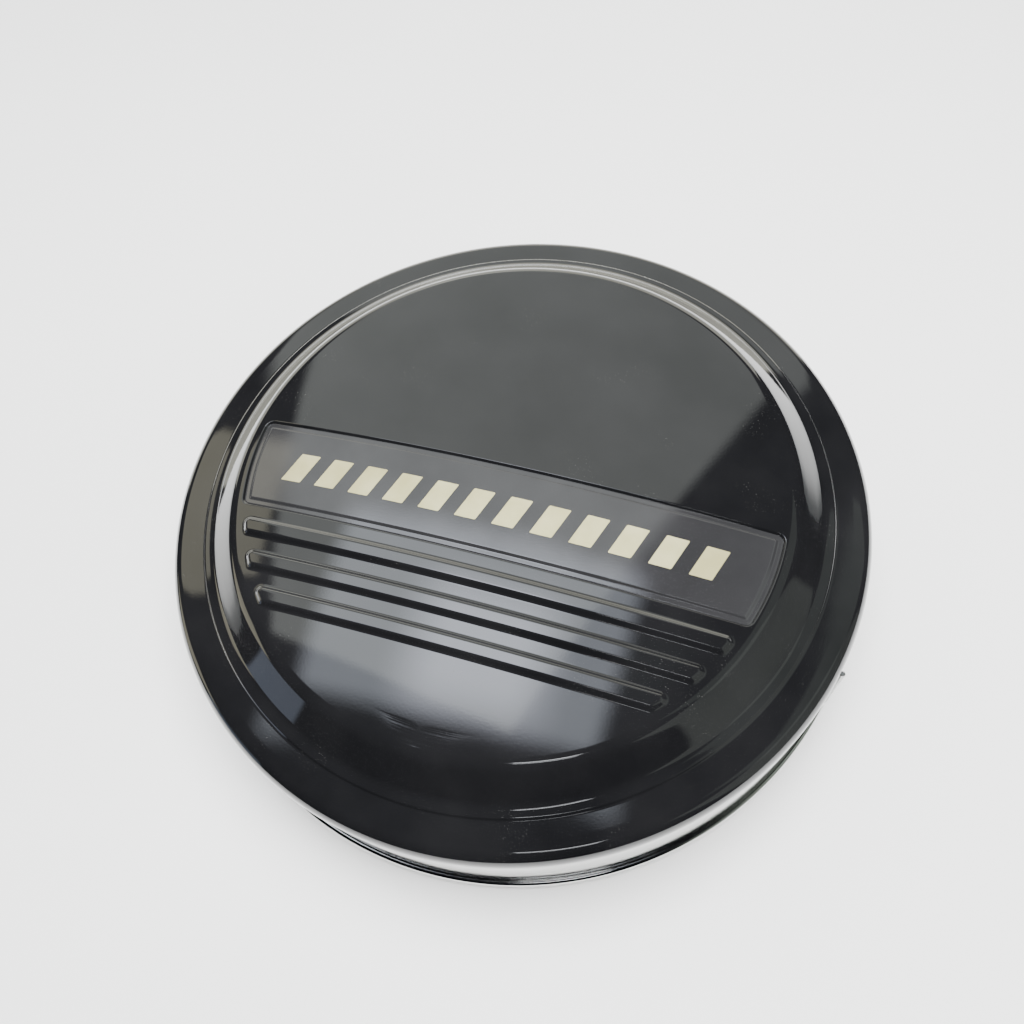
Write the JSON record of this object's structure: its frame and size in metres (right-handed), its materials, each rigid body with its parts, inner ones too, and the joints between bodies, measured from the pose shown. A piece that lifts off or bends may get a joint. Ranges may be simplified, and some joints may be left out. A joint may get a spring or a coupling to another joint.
{
  "type": "spare tire cover",
  "caption": "Hard-shell spare wheel cover with a domed face, nameplate and ribs, and a polished split side band that hinges open and latches round the tyre.",
  "frame": {"origin": "on the wheel's axis, in the plane of the rear rim", "axes": "+Z out of the face along the wheel's axis; +X along the nameplate, to the right as seen from outside; +Y up when hung on the car"},
  "size_m": [0.8, 0.8, 0.1961],
  "materials": {
    "face_black": "black moulded ABS, high gloss",
    "plate_black": "smooth glossy black panel",
    "pale_gold_film": "pale champagne gold film",
    "polished_steel": "mirror-polished stainless sheet",
    "hinge_steel": "satin stainless",
    "latch_steel": "satin stainless pressings",
    "hardware_steel": "plain stainless",
    "rubber_trim": "extruded dark grey rubber",
    "rubber_seal": "solid black rubber strip",
    "foam": "closed-cell foam"
  },
  "bodies": {
    "upper_cover": {"face_shell": "face_black", "nameplate": "plate_black", "nameplate_stripes": "pale_gold_film", "nameplate_push_nuts": "hardware_steel", "face_pads": "foam", "front_gasket": "rubber_seal", "upper_band": "polished_steel", "upper_liner": "foam", "upper_edge_trim": "rubber_trim", "band_rivets": "hardware_steel", "upper_hinge_leaf": "hinge_steel", "hinge_pin": "hardware_steel", "seam_tongue": "hardware_steel", "latch_catch": "latch_steel", "latch_catch_rivets": "hardware_steel"},
    "lower_cover": {"lower_band": "polished_steel", "lower_liner": "foam", "lower_edge_trim": "rubber_trim", "lower_hinge_leaf": "hinge_steel", "latch_base": "latch_steel", "latch_base_rivets": "hardware_steel", "latch_lever_pin": "hardware_steel"},
    "latch_lever": {"latch_lever": "latch_steel"},
    "latch_loop": {"latch_loop": "latch_steel"}
  },
  "joints": [
    {"name": "lower_band_swing", "type": "hinge", "parent": "upper_cover", "child": "lower_cover", "pos_m": [0.38367, -0.1028, 0.072], "axis": [0, 0, 1], "range_deg": [0, 35]},
    {"name": "latch_lever_turn", "type": "hinge", "parent": "lower_cover", "child": "latch_lever", "pos_m": [-0.38313, -0.12336, 0.066], "axis": [0, 0, -1], "range_deg": [0, 110]},
    {"name": "latch_loop_turn", "type": "hinge", "parent": "latch_lever", "child": "latch_loop", "pos_m": [-0.38002, -0.13495, 0.066], "axis": [0, 0, -1], "range_deg": [-137.5, 0]}
  ],
  "couplings": [
    {"joint": "latch_loop_turn", "follows": "latch_lever_turn", "ratio": -1.25}
  ]
}
